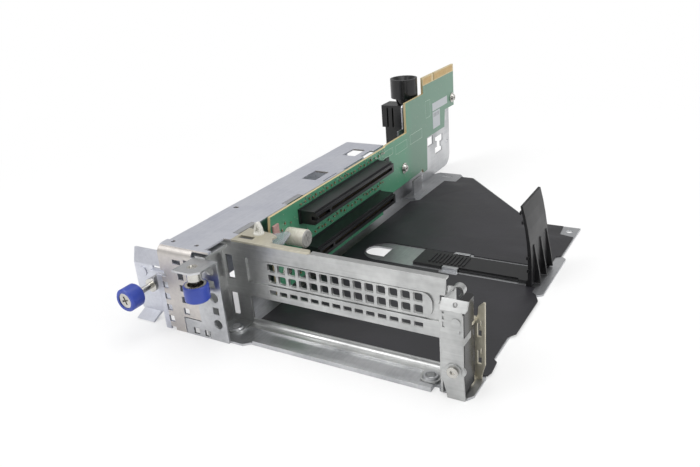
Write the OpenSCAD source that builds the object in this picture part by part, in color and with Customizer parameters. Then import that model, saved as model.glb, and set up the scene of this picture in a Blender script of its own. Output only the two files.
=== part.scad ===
// Riser cage bracket: a folded steel cage for two expansion cards, with its riser board,
// modelled upside down, the way it lies on a bench. X runs along the card slots,
// Y runs back from the face of the slots, Z is up. The origin is on the surface it lies on,
// below the left end of the slots.

/* [Sheet metal] */
// Thickness of the folded steel sheet
sheet_t = 1.0; // [0.8:0.1:1.2]
// Outer radius of the folds
fold_r = 2.0; // [1.5:0.1:2.6]
// Thickness of the black insulating film
film_t = 0.5; // [0.3:0.1:0.7]
// Gap round what drops in or slides
fit_gap = 0.3; // [0.2:0.05:0.4]

/* [Card slots] */
// Distance from one card slot to the next
slot_pitch = 20.32; // [20.3:0.01:20.6]
// Height of each slot opening
slot_h = 12.7; // [12.2:0.1:13]
// Length of each slot opening
slot_l = 103; // [101:0.5:104]
// Height of the lower slot opening above the surface
slot_z = 4; // [3.6:0.1:4.4]
// Height of the rail over the upper slot
rail_h = 7.7; // [7:0.1:8.4]
// Width of the slots that take the tongues of the card brackets
tongue_w = 4.2; // [3.6:0.1:4.6]

/* [Cage] */
// Height of the cage
cage_h = 45.6; // [45:0.1:47]
// Distance from the left end of the slots to the left wall
box_w = 37.4; // [36:0.2:40]
// Distance from the face of the slots to the rear end of the box
box_l = 159.2; // [150:0.2:170]
// Distance that the front panel stands in front of the slots
panel_d = 18.8; // [17.6:0.1:20]
// Clear height under the left wall
wall_gap = 9.5; // [7:0.1:12]
// Pitch of the holes in the front panel
grille_pitch = 6.2; // [5.8:0.1:6.4]
// Side of the square holes in the front panel
grille_hole = 3.4; // [3:0.1:3.8]

/* [Left flange] */
// Width of the flange beside the box
flange_w = 25.6; // [24:0.2:28]
// Distance that the flange stands in front of the slots
flange_d = 12; // [10:0.1:13]

/* [Base plate] */
// Distance from the slots to the right edge of the base plate
base_r = 117; // [116.6:0.1:119]
// Distance that the base plate reaches in front of the slots
ledge_d = 15.1; // [14.6:0.1:15.6]
// Distance from the slots to the rear end of the base plate
base_l = 240; // [236:0.5:250]
// Hole radius of the two front feet
foot_hole_r = 2.3; // [2:0.1:2.6]

/* [Riser board] */
// Thickness of the board
board_t = 1.6; // [1.4:0.1:2]
// Distance from the left end of the slots to the face of the board
board_d = 2.2; // [1.8:0.1:2.6]
// Distance from the slots to the rear end of the board
board_l = 263; // [259:0.5:270]
// Height of the edge contacts' tip
board_h = 79; // [76:0.5:82]
// Length of a card connector
conn_l = 89; // [89:0.1:90]
// Width of a card connector
conn_w = 7.5; // [7:0.1:8]
// Height of a card connector above the board
conn_h = 11.25; // [10.5:0.05:12]
// Distance from the slots to the connectors
conn_y = 49.6; // [48:0.1:52]
// Distance from the middle of a slot up to the middle of its connector
conn_dz = 7.9; // [7.7:0.05:8.1]
// Diameter of the capacitor
cap_d = 9.4; // [8:0.1:10]
// Length of the capacitor
cap_l = 11.8; // [10:0.1:13]

/* [Card guide] */
// Width of the sliding arm
arm_w = 18; // [17:0.1:19]
// Thickness of the arm
arm_t = 1.6; // [1.4:0.1:1.8]
// Height of the upright fin
fin_h = 43; // [38:0.5:46]
// Width of the fin
fin_w = 30; // [27:0.2:32]
// Travel of the guide towards the board
guide_travel = 30; // [24:0.5:32]

/* [Thumbscrews] */
// Diameter of the coloured knob
knob_d = 11.8; // [11:0.1:12.4]
// Length of the knob
knob_l = 8; // [7:0.1:9]
// Diameter of the screw's shank
shank_d = 3; // [2.6:0.1:3.4]
// Outer diameter of the ferrule
ferrule_d = 7; // [6.6:0.1:7.4]
// Length of the ferrule
ferrule_l = 5.4; // [5:0.1:6]
// How far the left screw is pulled out of its ferrule
left_pull = 9.4; // [7:0.1:10]
// How far the right screw is pulled out of its ferrule
right_pull = 2.2; // [1.6:0.1:2.6]

/* [Slot latch] */
// Radius of the latch's pivot pin
pin_r = 1.1; // [1:0.05:1.3]
// Running clearance of the pin in its lugs
pin_gap = 0.06; // [0.04:0.01:0.09]

/* [Hidden] */
$fn = 48;

t = sheet_t;
over = 1;                                 // how far a cutting body passes a face
upper_z = slot_z + slot_pitch;            // lower edge of the upper slot
rail_z = upper_z + slot_h + rail_h;       // top of the slot frame
slot_mid = [slot_z + slot_h / 2, upper_z + slot_h / 2];
box_in_r = 7;                             // right edge of the top plate, left of the slots
jamb_l = 13.5;                            // left end of the slot frame's face
post_x = [106.3, 115.4];                  // left and right edge of the post
post_y = 15.5;                            // how far the post stands in front of the slots
base_front_l = -13.5;                     // left end of the ledge
base_left = -8.6;                         // left edge of the base plate behind the slots
carrier_x = base_left;                    // outer face of the board carrier
board_x = -board_d - board_t;             // rear face of the board
film_z = t + film_t;                      // top of the film
hem_d = 2.6;                              // depth of the front hem
hem_r = 101;                              // right end of the front hem
foot_x = [-5.3, 97.7];                    // the two front feet
foot_y = -7.4;
foot_r = 4.6;

// A box from its lowest and highest coordinates
module box(x, y, z)
  translate([x[0], y[0], z[0]]) cube([x[1] - x[0], y[1] - y[0], z[1] - z[0]]);

// Plates drawn as outlines: normal to Z, to Y (outline in X and Z) and to X (outline in Y and Z)
module plate_z(z0, h) translate([0, 0, z0]) linear_extrude(h) children();
module plate_y(y0, h) translate([0, y0 + h, 0]) rotate([90, 0, 0]) linear_extrude(h) children();
module plate_x(x0, h) translate([x0, 0, 0]) rotate([90, 0, 90]) linear_extrude(h) children();

// Rectangle from two corners, plain or with round corners
module rect(x, y) translate([x[0], y[0]]) square([x[1] - x[0], y[1] - y[0]]);
module round_rect(x, y, r) {
  rect([x[0] + r, x[1] - r], y);
  rect(x, [y[0] + r, y[1] - r]);
  for (cx = [x[0] + r, x[1] - r], cy = [y[0] + r, y[1] - r]) translate([cx, cy]) circle(r);
}

// Folded section with its outside corner at the origin: one leg along +X, one along -Y
module fold(a, b, r = fold_r) {
  rect([r, a], [-t, 0]);
  rect([0, t], [-b, -r]);
  translate([r, -r]) intersection() {
    difference() { circle(r); circle(r - t); }
    rect([-r, 0], [0, r]);
  }
}

/* ---------- base plate and film ---------- */

tab_y = [155, 168];                       // rear right tab of bare metal
diag_y = 168;                             // where the slanting rear edge ends
arm_y = 97.5;                             // middle of the card guide's arm
arm_x = [44, 110];                        // left end of the arm and root of the fin
well_r = arm_w / 2 + 3;                   // half width of the film's cut-out round the arm
well_x = arm_x[0] - guide_travel - 4;     // left end of the cut-out
hole_x = [10, 24];                        // window in the base plate inside the cut-out
lug_x = [62, 71];                         // lanced lugs that hold the arm down
lug_lip = 1.3;                            // reach of a lug over the arm's rebate
rebate = 1.6;                             // width of the arm's rebate
rebate_t = 0.7;                           // thickness left at the rebate
arm_z = t + 0.1;                          // underside of the arm

module base_outline() {
  difference() {
    polygon([[base_front_l, -panel_d + t], [6, -panel_d + t], [9, -ledge_d], [hem_r, -ledge_d],
      [hem_r, -11], [hem_r + 2, -11], [hem_r + 3, -13], [post_x[0] + 2, -13],
      [post_x[0] + 2, -post_y + t], [base_r - 0.6, -post_y + t], [base_r + 1.4, -post_y + 4],
      [base_r + 1.4, 2], [base_r, 4], [base_r, 78],
      [base_r + 2.6, 80], [base_r + 2.6, 124], [base_r, 126], [base_r, tab_y[1]],
      [88, diag_y], [24, base_l - 5], [16, base_l - 5], [12, base_l],
      [base_left + 4, base_l], [base_left, base_l - 6], [base_left, 20], [base_front_l, 14]]);
    // window in the guide's well
    intersection() {
      rect(hole_x, [arm_y - 6, arm_y + 6]);
      union() {
        translate([hole_x[0] + 6, arm_y]) circle(6);
        rect([hole_x[0] + 6, hole_x[1]], [arm_y - 6, arm_y + 6]);
      }
    }
    // slot at the rear left corner and a hole in the right tab
    round_rect([0, 8.2], [231.6, 234.4], 1.3);
    translate([base_r - 5, (tab_y[0] + tab_y[1]) / 2]) circle(2);
    for (x = foot_x) translate([x, foot_y]) circle(foot_hole_r);
  }
}

module arm_lug(side) {
  y_out = arm_y + side * (arm_w / 2 + fit_gap);
  y_a = min(y_out, y_out + side * t);
  y_b = min(y_out + side * t, y_out - side * lug_lip);
  lug_top = arm_z + rebate_t + 0.2;
  box(lug_x, [y_a, y_a + t], [0, lug_top + t]);
  box(lug_x, [y_b, y_b + t + lug_lip], [lug_top, lug_top + t]);
}

module base_plate() color("gainsboro") {
  plate_z(0, t) base_outline();
  // closed hem along the front edge
  box([10, hem_r], [-ledge_d, -ledge_d + hem_d], [t, 2 * t + 0.1]);
  for (side = [-1, 1]) arm_lug(side);
}

module film_outline() {
  difference() {
    polygon([[0.6, t + fit_gap], [base_r - 3, t + fit_gap], [base_r + 1.6, 3], [base_r + 2.4, 6],
      [base_r + 1.8, 14], [base_r - 0.4, 16], [base_r - 0.6, 35], [base_r + 2.2, 39],
      [base_r + 2.4, 72], [base_r + 1, 75], [base_r - 0.6, 78],
      [base_r - 3, 80], [base_r - 3, 124], [base_r - 0.6, 126], [base_r - 0.6, tab_y[0] - 2],
      [108, tab_y[0]], [107, diag_y - 0.8], [87.6, diag_y - 0.8], [23.6, base_l - 6.2],
      [15, base_l - 6.2], [15, 223], [6.4, 222], [5.6, 181], [0.6, 176]]);
    hull() for (x = [well_x + well_r, arm_x[1] + 3]) translate([x, arm_y]) circle(well_r);
    for (side = [-1, 1]) translate([(lug_x[0] + lug_x[1]) / 2, arm_y + side * well_r])
      square([lug_x[1] - lug_x[0] + 2, 4], center = true);
  }
}

module insulating_film() color([0.17, 0.17, 0.18]) plate_z(t, film_t) film_outline();

/* ---------- slot frame: face, rails, left wall and feet ---------- */

hook_x = 108.2;                           // centre of the curled hook
filler_n = 14;                            // columns of holes in the slot filler
filler_x = [12.2, 91.6];                  // first and last hole of the filler
row_pitch = (filler_x[1] - filler_x[0]) / (filler_n - 0.26);

module frame_outline() {
  difference() {
    union() {
      rect([-jamb_l, 102], [slot_z - 0.01, rail_z]);
      for (x = [[-jamb_l, 0.01], [slot_l - 0.01, post_x[0]]]) rect(x, [t, rail_z - 3]);
    }
    for (z = [slot_z, upper_z]) {
      rect([0, slot_l], [z, z + slot_h]);
      rect([-8 - tongue_w, -8], [z, z + slot_h]);
    }
    // small windows in the rail between the two slots
    for (i = [0 : filler_n - 1])
      round_rect([12.2 + i * row_pitch, 16.4 + i * row_pitch],
        [upper_z - 4.6, upper_z - 2.2], 0.4);
  }
}

module slot_frame() color([0.85, 0.86, 0.87]) {
  difference() {
    union() {
      plate_y(0, t) frame_outline();
      // return of the top rail
      box([36.8, 102], [0, 3.6], [rail_z - t, rail_z]);
      // wall that joins the face to the front panel, and its folded top
      box([-jamb_l - t, -jamb_l], [-panel_d + t, t], [t, rail_z - 1.4]);
      box([-jamb_l - t, -8.4], [-panel_d + t, -1.5], [rail_z - 1.4 - t, rail_z - 1.4]);
      // coved fold from the lower rail onto the base plate
      run_cove([0, slot_l]);
    }
  }
  // the two feet, each a round tab on the base plate
  for (x = foot_x) difference() {
    union() {
      translate([x, foot_y, t]) cylinder(h = t, r = foot_r);
      box([x - foot_r, x + foot_r], [foot_y, 0], [t, 2 * t]);
    }
    translate([x, foot_y, 0]) cylinder(h = 4 * t, r = foot_hole_r);
  }
  // shelf that carries the tabs of the card brackets, folded forward to the post
  difference() {
    box([post_x[0] - t, post_x[0]], [-post_y + t, t], [t, rail_z - 3]);
    for (z = [slot_z, upper_z]) box([post_x[0] - 2 * t, post_x[0] + t], [-11, -3], [z, z + slot_h - 2]);
  }
  // curled hook at the end of the top rail
  translate([hook_x, 0, rail_z - 3.4]) rotate([90, 0, 0]) rotate([0, 0, -70])
    rotate_extrude(angle = 250) translate([1.7, -t]) square([0.9, 3.4]);
}

cove_r = slot_z - t;                      // outer radius of the fold below the lower slot
module run_cove(x) translate([x[0], 0, 0]) rotate([90, 0, 90]) linear_extrude(x[1] - x[0])
  union() {
    rect([t - cove_r - 2.4, t - cove_r], [t, 2 * t]);
    translate([t - cove_r, t + cove_r]) intersection() {
      difference() { circle(cove_r); circle(cove_r - t); }
      rect([0, cove_r], [-cove_r, 0]);
    }
  }

/* ---------- cage channel: top, left wall, flange and the left of the front panel ---------- */

panel_l = 41;                             // left edge of the front panel
seam_x = 16.5;                            // seam between the two front panels
seam_z = 8.6;                             // top of the step in the seam
seam_l = 27;                              // left end of the step
seam_gap = 0.5;
lip_z = 29.6;                             // fold of the flange's lip
lip_h = 7.4;                              // height of the lip
lip_y = 2.2;                              // how far the lip leans back
left_screw = [-48, 21.5];                 // left thumbscrew, X and Z
notches = [[-14.5, -0.6], [6.4, 21], [47.3, 62.6], [132.8, 145.8]];
notch_d = 4;
edge_cuts = [[5, 19], [46, 61], [84, 98], [125, 139]];
edge_cut_d = 1.6;

module top_plate_cuts() {
  for (n = notches) rect([-box_in_r - notch_d, -box_in_r + over], n);
  rect([-box_in_r - 1.6, -box_in_r + over], [107.5, box_l + over]);
  round_rect([-23.6, -14], [85.6, 100.6], 0.5);
  round_rect([-23.8, -14.8], [132.6, 146.2], 0.5);
  rect([-9.2, -8.4], [85.7, 100.7]);
  translate([-32.4, -12]) circle(1.1);
  translate([-17.8, -12]) circle(1.1);
  round_rect([-33.2, -30], [33.9, 36.1], 1);
}

module cage_channel() color([0.84, 0.84, 0.87]) {
  difference() {
    union() {
      // top plate and left wall
      translate([-box_w, box_l, cage_h]) rotate([90, 0, 0])
        linear_extrude(box_l + panel_d - fold_r) fold(box_w - box_in_r, cage_h - wall_gap);
      // front panel, left part
      translate([-box_w, -panel_d, cage_h]) rotate([90, 0, 90])
        linear_extrude(box_w - seam_x) fold(8, cage_h, 4.5);
      plate_y(-panel_d, t) rect([-panel_l, -box_w], [0, lip_z]);
    }
    translate([0, 0, cage_h - 2 * t]) linear_extrude(3 * t) top_plate_cuts();
    // shallow cuts along the left fold
    for (c = edge_cuts) box([-box_w - over, -box_w + edge_cut_d], c, [cage_h - 2.4, cage_h + over]);
    front_holes([-36, -25], 0);
    // slots at the front fold
    box([-28.6, -23.6], [-panel_d - over, -panel_d + 2.4], [37.4, 39.6]);
    box([-21.4, -18.6], [-panel_d - over, -panel_d + 2.4], [38.4, 40.4]);
    // step that the other panel fills
    box([-seam_l - seam_gap, -seam_x + over], [-panel_d - over, -panel_d + 2 * t],
      [-over, seam_z + seam_gap]);
    // the wall stops behind the front panel, where the flange turns out
    box([-box_w - over, -box_w + t + 0.01], [-panel_d + t, -flange_d - 0.01], [-over, lip_z]);
  }
  // flange and its leaning lip
  difference() {
    union() {
      plate_y(-flange_d, t) difference() {
        rect([-box_w - flange_w, -box_w + t], [3.6, lip_z]);
        rect([-box_w + 0.01, -box_w + t + over], [0, wall_gap]);
      }
      box([-box_w, -box_w + t], [-flange_d, -flange_d + 2], [wall_gap, lip_z]);
      flange_lip();
    }
    translate([left_screw[0], -flange_d + 2 * t, left_screw[1]]) rotate([90, 0, 0])
      cylinder(h = 4 * t, r = ferrule_d / 2 - 1);
    // lanced slot over the screw
    box([-50.2, -38.6], [-flange_d - over, -flange_d + 2 * t], [lip_z - 1.2, lip_z + 0.2]);
  }
  // half-round tip of the lance and the dimple beside it
  box([-50.2, -38.6], [-flange_d - 2.2, -flange_d + 0.5], [lip_z - 2.2, lip_z - 1.4]);
  translate([-57.8, -flange_d, 25.2]) rotate([90, 0, 0]) cylinder(h = 0.5, r = 2.6);
  flange_foot();
}

module flange_lip() translate([-box_w - flange_w, 0, 0]) rotate([90, 0, 90])
  linear_extrude(flange_w + t)
  polygon([[-flange_d, lip_z - 0.01], [-flange_d + t, lip_z - 0.01],
    [-flange_d + lip_y + t, lip_z + lip_h], [-flange_d + lip_y, lip_z + lip_h]]);

module flange_foot() translate([-62, 0, 0]) rotate([90, 0, 90]) linear_extrude(11.5)
  polygon([[-flange_d + t, 3.61], [-flange_d, 3.61], [-flange_d - 6.4, 0.6], [-flange_d - 5.6, 0],
    [-flange_d + t, 2.6]]);

// Rows of square holes, with the lowest row cut open by the panel's edge
module front_holes(columns, z0)
  for (x = columns, z = [z0 : grille_pitch : 32])
    box([x - grille_hole / 2, x + grille_hole / 2], [-panel_d - over, -panel_d + 2 * t],
      [z - grille_hole / 2, z + grille_hole / 2]);

/* ---------- right part of the front panel, with the screw's tab ---------- */

panel_top = 42.7;
tab_x = [-15.2, -1.4];
tab_d = 13.6;
right_screw = [-8.6, -26];                // right thumbscrew, X and Y
vent_x = -6;
vent_pitch = 7.1;
vent_z = [9.4, 37.8];

module front_panel() color([0.86, 0.87, 0.88]) {
  difference() {
    union() {
      plate_y(-panel_d, t) {
        rect([-seam_x, -t], [0, panel_top]);
        rect([-seam_l, -seam_x + over], [0, seam_z]);
      }
      box(tab_x, [-panel_d - tab_d, -panel_d + t], [panel_top - t, panel_top]);
    }
    // vent column: round and square holes by turns
    for (i = [0 : 4]) {
      z = vent_z[0] + i * vent_pitch;
      if (i % 2 == 0) translate([vent_x, -panel_d + 2 * t, z]) rotate([90, 0, 0])
        cylinder(h = 4 * t, r = 2.5);
      else box([vent_x - 1.8, vent_x + 1.8], [-panel_d - over, -panel_d + 2 * t],
        [z - 1.9, z + 1.9]);
    }
    for (x = [-20.6, -13.7]) box([x - 1.8, x + 1.8], [-panel_d - over, -panel_d + 2 * t],
      [0.9, 4.3]);
    // cut corner of the tab, and the hole for the ferrule
    translate([tab_x[1], -panel_d - tab_d, panel_top - 2 * t]) rotate([0, 0, 45])
      cube([4.6, 4.6, 4 * t], center = true);
    translate([right_screw[0], right_screw[1], panel_top - 2 * t])
      cylinder(h = 4 * t, r = ferrule_d / 2 - 1);
  }
}

/* ---------- feet ---------- */

module foot_grommets() color([0.80, 0.78, 0.72])
  for (x = foot_x) translate([x, foot_y, 2 * t]) difference() {
    cylinder(h = 0.8, r1 = foot_hole_r + 1.4, r2 = foot_hole_r + 0.9);
    translate([0, 0, -over]) cylinder(h = 3, r = foot_hole_r);
  }

/* ---------- board carrier ---------- */

carrier_top = cage_h - t;
carrier_l = 265.5;                        // rear end of the carrier
carrier_r = 9;                            // radius of its lower rear corner
carrier_tabs = [[6.8, 20.6], [47.7, 62.2]];

module carrier_outline() {
  difference() {
    union() {
      rect([2.4, 172], [t, carrier_top]);
      rect([188, carrier_l], [t + carrier_r, 58]);
      rect([170, 190], [t, carrier_top]);
      rect([170, carrier_l - carrier_r], [t, 40]);
      translate([carrier_l - carrier_r, t + carrier_r]) circle(carrier_r);
      round_rect([187, 204], [44, 65], 2.4);
      rect([180, 188], [44, 49]);
    }
    // windows behind the board
    rect([225.4, 235], [25, 31.4]);
    polygon([[238.4, 15.6], [251.6, 15.6], [251.6, 19], [249, 19], [249, 23], [252.8, 23],
      [252.8, 28.4], [239, 28.4], [239, 25], [242, 25], [242, 20.6], [238.4, 20.6]]);
    rect([213.6, 215.4], [t + 3, 22]);
    translate([261.2, 20]) circle(1.4);
    // vents in the part under the top plate
    for (y = [36 : 24 : 132]) round_rect([y, y + 15], [14, 32], 3);
  }
}

module board_carrier() color([0.82, 0.83, 0.84]) {
  plate_x(carrier_x, t) carrier_outline();
  // tabs folded over into the notches of the top plate
  for (y = carrier_tabs)
    box([carrier_x - 2.2, carrier_x + t], y, [carrier_top, carrier_top + t]);
}

screw_yz = [[174.7, 25.6], [259, 54.4], [33, 14]];

module board_standoffs() color("silver")
  for (p = screw_yz) translate([carrier_x + t, p[0], p[1]]) rotate([0, 90, 0])
    difference() {
      cylinder(h = board_x - carrier_x - t, r = 2.8);
      translate([0, 0, -over]) cylinder(h = 20, r = 1.3);
    }

module board_screws() color("silver")
  for (p = screw_yz) translate([0, p[0], p[1]]) rotate([0, 90, 0]) {
    translate([0, 0, -board_d]) cylinder(h = 0.6, r = 3.6);
    difference() {
      translate([0, 0, -board_d + 0.6]) cylinder(h = 1.6, r1 = 2.9, r2 = 2.2);
      translate([0, 0, -board_d + 1.2]) for (a = [0, 90]) rotate([0, 0, a])
        translate([-1.5, -0.35, 0]) cube([3, 0.7, 3]);
    }
    translate([0, 0, board_x - 1.4]) cylinder(h = -board_d - board_x + 1.4, r = 1.25);
  }

/* ---------- right post, latch and its flange ---------- */

cap_z = [31, 40.6];                       // overlapping upper piece of the post
lip_top = 44.6;

module retainer_post() color([0.82, 0.82, 0.83]) {
  difference() {
    union() {
      plate_y(-post_y, t) {
        rect(post_x, [9.6, cap_z[1] - 2]);
        polygon([[post_x[0], 9.7], [post_x[0] + 1.6, 3], [post_x[0] + 2.2, 0],
          [post_x[1] + 0.6, 0], [post_x[1], 9.7]]);
        // bulge beside the screw
        translate([post_x[1] - 1.6, 13.4]) circle(2.6);
      }
      // upper piece, folded over the front of the post
      plate_y(-post_y - t, t) difference() {
        rect([post_x[0] + 0.2, post_x[1]], cap_z);
        rect([post_x[1] - 1, post_x[1] + over], [cap_z[0] - over, cap_z[0] + 1.6]);
      }
      post_lip();
      translate([111.4, -post_y, 13.4]) rotate([90, 0, 0]) cylinder(h = 0.6, r = 3.4);
    }
    translate([111.4, -post_y + 2 * t, 13.4]) rotate([90, 0, 0]) cylinder(h = 4 * t, r = 1.5);
    // slots down the left edge
    for (z = [[33, 35.4], [36.4, 38], [39, 40.2]])
      box([post_x[0] + 1.2, post_x[0] + 2.2], [-post_y - 3, -post_y - t + 0.6], z);
  }
  // round dimple of the upper piece
  translate([113.2, -post_y - t, 36]) rotate([90, 0, 0]) cylinder(h = 0.4, r = 1.9);
}

module post_lip() difference() {
  translate([post_x[0] + 0.2, 0, 0]) rotate([90, 0, 90]) linear_extrude(10.8)
    polygon([[-post_y - t, cap_z[1] - 0.01], [-post_y, cap_z[1] - 0.01],
      [-post_y + 2.4, lip_top - 0.5], [-post_y + 1.6, lip_top]]);
  translate([post_x[1] + 4.4, -post_y, cap_z[1] - 1]) rotate([0, 32, 0])
    cube([6, 14, 9], center = true);
  translate([112.4, -post_y, 42.8]) rotate([90, 0, 0]) cylinder(h = 12, r = 0.9, center = true);
}

module post_screw() color("silver")
  translate([111.4, -post_y - 0.6, 13.4]) rotate([90, 0, 0]) difference() {
    union() {
      cylinder(h = 1, r = 2.4);
      translate([0, 0, -1.6]) cylinder(h = 1.6, r = 1.48);
    }
    translate([0, 0, 0.3]) cylinder(h = 2, r = 1.1, $fn = 6);
  }

latch_x = [112.2, 115.3];                 // sides of the latch
latch_z = [2.2, 41.6];
latch_front = -14.2;                      // free edge of the latch, behind the post
hinge_x = 113.4;
hinge_y = -3.7;
hinge_r = 1.9;                            // radius of the barrel round the pin
lugs_z = [[t, 2], [29, 30.4]];            // the two lugs that carry the pin
band_z = [25, 28];
flange_x = [114.2, 118.6];
flange_z = 37;

module latch_flange() color([0.87, 0.86, 0.80]) {
  difference() {
    plate_y(0, t) polygon([[flange_x[0], t], [flange_x[0], 29.6], [flange_x[0] + 1.4, 31.4],
      [flange_x[0] + 1.6, flange_z - 2], [flange_x[1] - 0.8, flange_z], [flange_x[1], flange_z],
      [flange_x[1], 8], [flange_x[1] - 1.4, 3], [flange_x[1] - 1.4, t]]);
    // two hooked cut-outs
    for (z = [8.4, 21.2]) {
      box([flange_x[0] + 1.2, flange_x[0] + 2], [-over, 2 * t], [z + 3, z + 6.4]);
      box([flange_x[0] + 1.2, flange_x[0] + 3], [-over, 2 * t], [z, z + 3.2]);
      box([flange_x[0] + 2.6, flange_x[0] + 3.2], [-over, 2 * t], [z + 5, z + 7.6]);
    }
  }
  // lugs that carry the latch's pin
  for (z = lugs_z) difference() {
    union() {
      box([hinge_x - hinge_r, flange_x[0] + 1], [hinge_y, 0.5], z);
      translate([hinge_x, hinge_y, z[0]]) cylinder(h = z[1] - z[0], r = hinge_r);
    }
    translate([hinge_x, hinge_y, z[0] - over]) cylinder(h = z[1] - z[0] + 3, r = pin_r + pin_gap);
  }
}

// The latch in plan: a bar with a round end about its pin
module latch_plan() {
  polygon([[latch_x[0], latch_front], [latch_x[1] - 0.8, latch_front],
    [latch_x[1], latch_front + 0.8], [hinge_x + hinge_r, hinge_y], [hinge_x - hinge_r, hinge_y],
    [latch_x[0], hinge_y - 3]]);
  translate([hinge_x, hinge_y]) circle(hinge_r);
}

module slot_latch() color([0.07, 0.07, 0.08]) {
  translate([hinge_x, hinge_y, lugs_z[0][0] + 0.1]) cylinder(h = 33, r = pin_r);
  difference() {
    translate([0, 0, latch_z[0]]) linear_extrude(latch_z[1] - latch_z[0]) latch_plan();
    // room for the upper lug
    translate([hinge_x, hinge_y, lugs_z[1][0] - 0.3]) cylinder(h = lugs_z[1][1] - lugs_z[1][0] + 0.6, r = 2.6);
    // round upper front corner
    translate([0, latch_front, latch_z[1]]) difference() {
      box([latch_x[0] - over, latch_x[1] + over], [-over, 4], [-4, over]);
      translate([0, 4, -4]) rotate([0, 90, 0]) translate([0, 0, latch_x[0] - 2 * over])
        cylinder(h = 9, r = 4);
    }
    // lightening pockets in the side that faces the cards
    for (z = [[6, 22], [31.6, 38]])
      box([latch_x[0] - over, latch_x[0] + 1.4], [latch_front + 2, hinge_y - 3.4], z);
    // seat of the band
    box([latch_x[1] - 0.4, latch_x[1] + over], [latch_front - over, hinge_y - 3.2], band_z);
  }
}

// Steel band round the free edge of the latch
module latch_band() color("silver") difference() {
  box([latch_x[0] + 1.6, latch_x[1] + 0.1], [latch_front - 0.2, hinge_y - 3.2], band_z);
  box([latch_x[0], latch_x[1] - 0.4], [latch_front, 0], [0, 50]);
}

/* ---------- slot filler ---------- */

filler_y = 1.2;                           // how far the filler stands behind the slots' face
boss_z = 1.4;                             // margin of its raised panel

module slot_filler() color([0.84, 0.84, 0.82]) difference() {
  union() {
    box([-3, 104.6], [t, t + 0.8], [upper_z - 1.2, upper_z + slot_h + 1.6]);
    // raised panel with round ends
    plate_y(0.2, 1.2) round_rect([8.4, 96], [upper_z + 0.6, upper_z + slot_h - 0.4], 4.6);
  }
  for (i = [0 : filler_n - 1], row = [0, 1])
    plate_y(-over, 4) translate([filler_x[0] + i * row_pitch, upper_z + 1.6 + row * 5.6])
      round_rect([0, 4.3], [0, 4.3], 0.8);
  plate_y(-over, 4) {
    round_rect([98.8, 101.6], [upper_z + 8, upper_z + 12], 0.5);
    round_rect([98.8, 100.4], [upper_z + 2.4, upper_z + 6.4], 0.5);
  }
}

/* ---------- bracket, clip and tongue at the top ---------- */

bracket_top = rail_z + t;

module bracket_outline() difference() {
  union() {
    polygon([[-box_in_r + 0.3, -0.6], [14, -0.6], [14.4, 4], [11.8, 7.4], [12.6, 10],
      [8.6, 12.2], [-box_in_r + 0.3, 14]]);
    rect([13, 35.4], [-0.6, 2.6]);
    translate([35.4, 1]) circle(1.6);
  }
  rect([-5, 3.4], [2.6, 5.6]);
  translate([2.6, 9.4]) circle(1.6);
}

module top_bracket() color([0.84, 0.81, 0.74])
  plate_z(rail_z, t) bracket_outline();

module support_clip() color([0.95, 0.95, 0.93]) translate([2.6, 9.4, 0]) {
  translate([0, 0, rail_z - 1.4]) cylinder(h = t + 2.4, r = 1.5);
  translate([0, 0, bracket_top]) cylinder(h = 0.8, r = 2.6);
  translate([0, 1.1, bracket_top + 0.8]) rotate([90, 0, 0]) linear_extrude(2.2) difference() {
    polygon([[-2.1, 0], [2.1, 0], [1.9, 2.4], [0.6, 5.2], [-0.6, 5.2], [-1.9, 2.4]]);
    polygon([[-1.1, 0.8], [1.1, 0.8], [0.9, 2.2], [0, 3.8], [-0.9, 2.2]]);
  }
}

module clear_tongue() color([0.72, 0.76, 0.80]) {
  translate([1, 13.4, 39.6]) linear_extrude(0.5)
    polygon([[0, 0], [9.4, -2.4], [11.6, 1.4], [7.6, 13], [5, 14.4], [-1.4, 8]]);
  box([2, 5], [14, 17], [40.1, 42.6]);
}

/* ---------- riser board and what is soldered to it ---------- */

board_y = 24.4;                           // front edge of the board
board_top = cage_h + 1.7;

module board_outline() {
  finger_z = board_h - 11;
  polygon([[board_y, 41], [board_y + 1, board_top], [149.6, board_top], [150.4, board_top + 0.8],
    [181, board_top + 0.8], [181, finger_z], [209, finger_z], [209, board_h],
    [board_l, board_h - 0.4], [board_l, 48], [246, 48.4], [244.4, 35.8], [213, 35.8],
    [212, 12.6], [206, 12.4], [204, 15.6], [199.6, 14.6], [142, 14], [142, 4.4], [board_y, 4.4]]);
}

module riser_board() color([0.10, 0.30, 0.20]) difference() {
  plate_x(board_x, board_t) board_outline();
  // key between the two groups of edge contacts
  box([board_x - over, -board_d + over], [226.8, 228.4], [board_h - 5.4, board_h + over]);
  for (p = screw_yz) translate([board_x - over, p[0], p[1]]) rotate([0, 90, 0])
    cylinder(h = board_t + 2, r = 1.6);
}

contact_h = 4.2;
contact_pitch = 2;

module edge_contacts() color([0.83, 0.68, 0.38])
  for (y = [[210.2, 226], [229.2, board_l - 1.2]])
    for (k = [0 : floor((y[1] - y[0]) / contact_pitch) - 1])
      for (x = [board_x - 0.1, -board_d])
        box([x, x + 0.1], [y[0] + k * contact_pitch, y[0] + k * contact_pitch + 1.3],
          [board_h - 0.8 - contact_h, board_h - 0.8]);

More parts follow.
